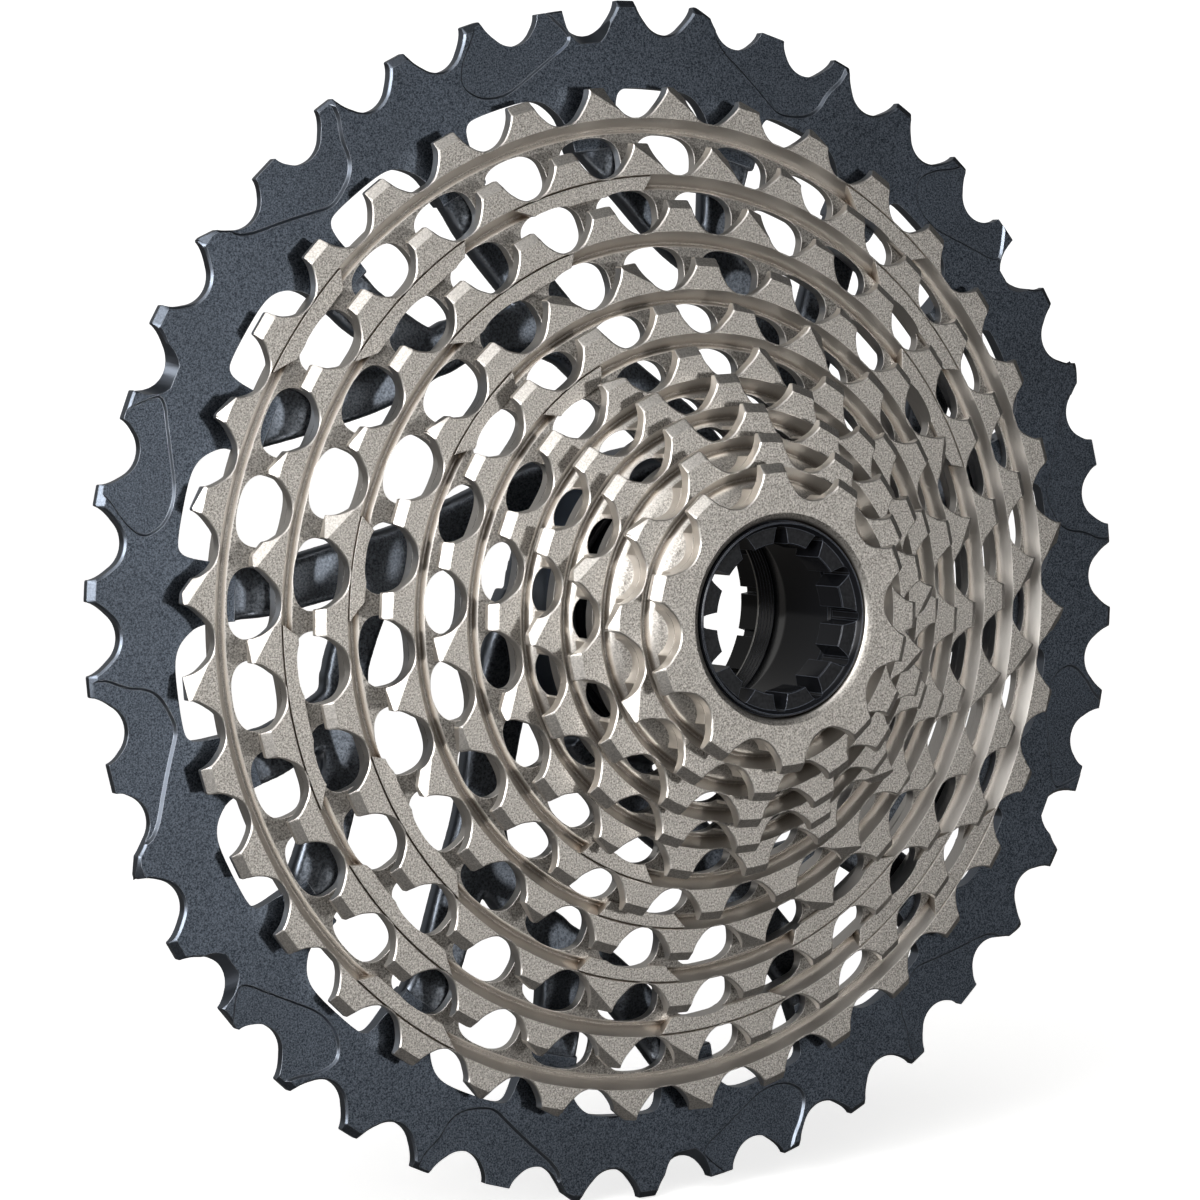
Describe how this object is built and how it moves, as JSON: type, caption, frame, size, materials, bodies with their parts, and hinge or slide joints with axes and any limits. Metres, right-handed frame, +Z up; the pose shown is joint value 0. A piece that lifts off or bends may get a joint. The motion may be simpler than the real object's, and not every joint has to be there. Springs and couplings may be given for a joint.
{
  "type": "bicycle cassette sprocket cluster",
  "caption": "Bicycle cassette: a stepped dome of steel sprockets with windowed webs, a large dark aluminium sprocket behind it and a threaded lock sleeve turning in the bore.",
  "frame": {"origin": "on the spin axis, half way along the cassette", "axes": "+Y along the spin axis towards the wheel's spokes, -Y towards the smallest sprocket, +Z up"},
  "size_m": [0.1708, 0.0394, 0.171],
  "materials": {
    "sprocket_steel": "fine blasted nickel-coloured steel, warm grey, satin",
    "anodised_alloy": "blasted and anodised, dark blue-grey, satin",
    "black_alloy": "gloss black anodised",
    "pin_steel": "plain ground steel",
    "bush_polymer": "dark bearing polymer"
  },
  "bodies": {
    "cassette": {"sprocket_10t": "sprocket_steel", "sprocket_12t": "sprocket_steel", "sprocket_14t": "sprocket_steel", "sprocket_16t": "sprocket_steel", "sprocket_18t": "sprocket_steel", "sprocket_21t": "sprocket_steel", "sprocket_24t": "sprocket_steel", "sprocket_28t": "sprocket_steel", "sprocket_32t": "sprocket_steel", "sprocket_36t": "sprocket_steel", "sprocket_42t": "anodised_alloy", "dome_pin_1": "pin_steel", "dome_pin_2": "pin_steel", "dome_pin_3": "pin_steel", "dome_pin_4": "pin_steel", "front_bush": "bush_polymer", "rear_bush": "bush_polymer", "rear_thrust_washer": "pin_steel"},
    "float_washer": {"front_thrust_washer": "pin_steel"},
    "sleeve": {"lock_sleeve": "black_alloy"}
  },
  "joints": [
    {"name": "sleeve_float", "type": "slide", "parent": "cassette", "child": "float_washer", "axis": [0, 1, 0], "range_m": [0, 0.0008]},
    {"name": "sleeve_spin", "type": "hinge", "parent": "float_washer", "child": "sleeve", "pos_m": [0, 0, 0], "axis": [0, 1, 0], "continuous": true}
  ]
}
